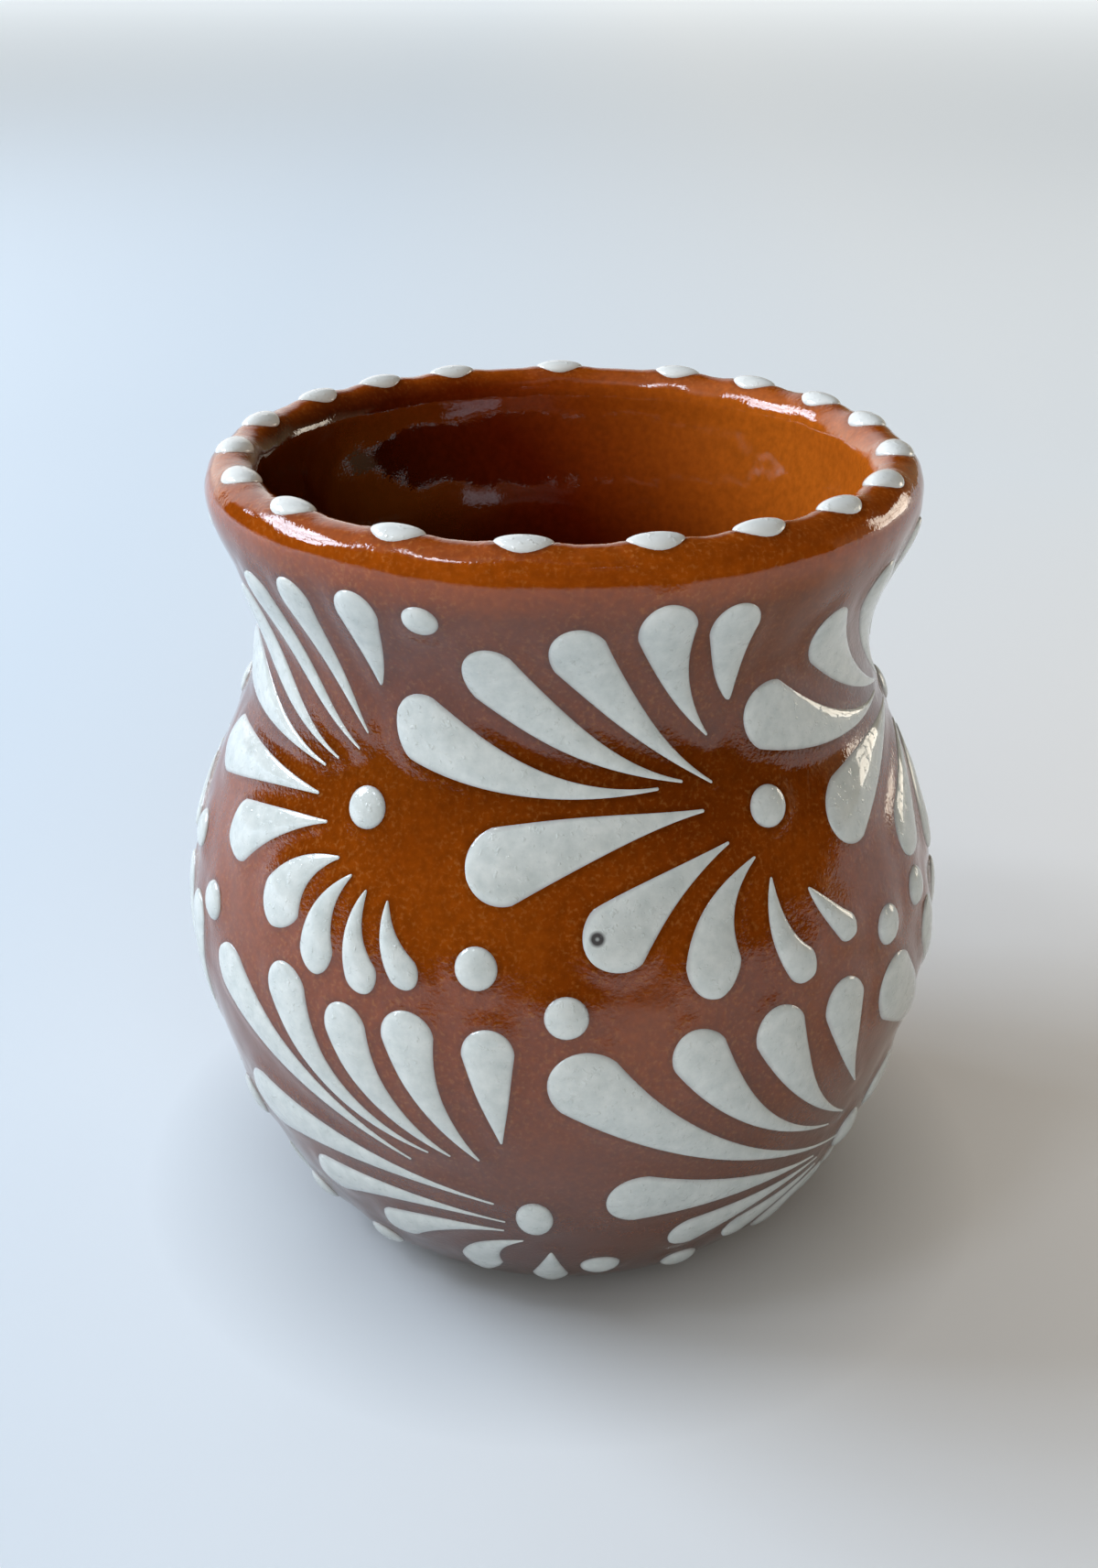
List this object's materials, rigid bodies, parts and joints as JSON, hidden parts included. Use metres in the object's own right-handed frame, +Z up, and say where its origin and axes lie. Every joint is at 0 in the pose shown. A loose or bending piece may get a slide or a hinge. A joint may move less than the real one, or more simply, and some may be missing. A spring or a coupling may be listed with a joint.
{
  "type": "clay mug",
  "caption": "Round-bellied clay mug with a pinched neck, a thick rolled lip and a strap handle, clear glazed over raised white slip petals and dots. It holds a drink.",
  "frame": {"origin": "centre of the flat base, on the axis the body was thrown about", "axes": "+Z up out of the mouth, -Y the side that faces the viewer, +Y towards the handle"},
  "size_m": [0.092, 0.1143, 0.0969],
  "materials": {
    "glazed_clay": "red-brown earthenware under a clear glossy glaze",
    "white_slip": "raised white slip under the same clear glaze"
  },
  "bodies": {
    "root": {"clay_body": "glazed_clay", "handle": "glazed_clay", "upper_flower_1": "white_slip", "upper_flower_2": "white_slip", "upper_flower_3": "white_slip", "upper_flower_4": "white_slip", "upper_flower_5": "white_slip", "upper_flower_6": "white_slip", "lower_flower_1": "white_slip", "lower_flower_2": "white_slip", "lower_flower_3": "white_slip", "lower_flower_4": "white_slip", "lower_flower_5": "white_slip", "lower_flower_6": "white_slip", "upper_centres": "white_slip", "lower_centres": "white_slip", "waist_dots": "white_slip", "foot_dots": "white_slip", "neck_dots": "white_slip", "rim_dots": "white_slip"}
  },
  "joints": []
}
